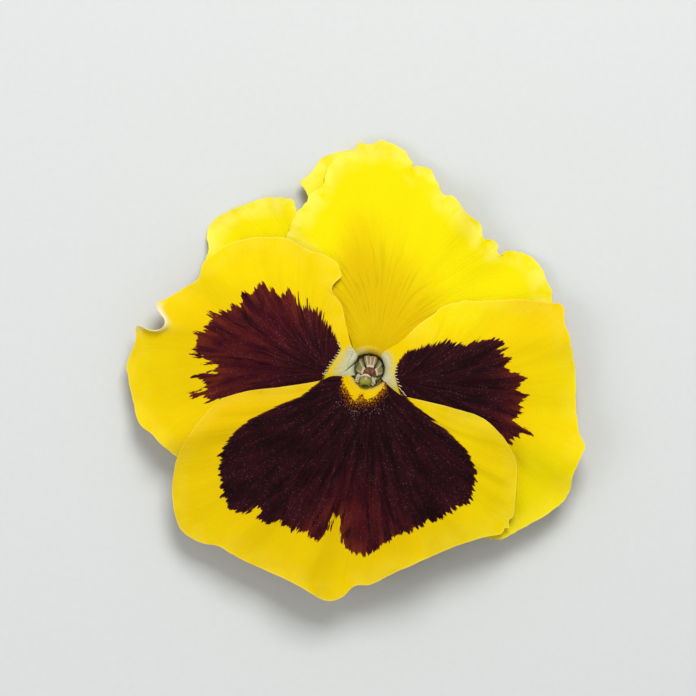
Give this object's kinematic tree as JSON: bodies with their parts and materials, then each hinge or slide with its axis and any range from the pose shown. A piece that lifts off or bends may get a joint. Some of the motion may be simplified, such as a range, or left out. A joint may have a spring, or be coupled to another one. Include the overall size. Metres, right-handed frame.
{
  "type": "pansy flower",
  "caption": "Picked pansy bloom lying face up on its short stalk: waved yellow petals in layers, dark blotches on the front ones, and a small throat.",
  "frame": {"origin": "on the flat underside of the stalk, where it touches the surface, straight below the throat", "axes": "+Z out of the flower's face, +Y towards the top of its face, +X to the right seen from in front of its face"},
  "size_m": [0.0803, 0.0804, 0.0152],
  "materials": {
    "stalk": "green, faintly ribbed, waxy skin",
    "sepal": "green blade with paler veins and margin",
    "upper_petal": "velvety light yellow, finely veined, paler at the margin",
    "front_petal": "velvety golden yellow with a feathered dark maroon blotch",
    "anther": "greenish tan anthers with reddish brown tips",
    "pistil": "moist pale green"
  },
  "bodies": {
    "root": {"flower_stalk": "stalk", "bracteole_left": "sepal", "bracteole_right": "sepal", "sepal_top": "sepal", "sepal_upper_left": "sepal", "sepal_upper_right": "sepal", "sepal_lower_left": "sepal", "sepal_lower_right": "sepal", "petal_upper_left": "upper_petal", "petal_upper_right": "upper_petal", "petal_lateral_left": "front_petal", "petal_lateral_right": "front_petal", "petal_lower": "front_petal", "anther_cone": "anther", "pistil": "pistil"}
  },
  "joints": []
}
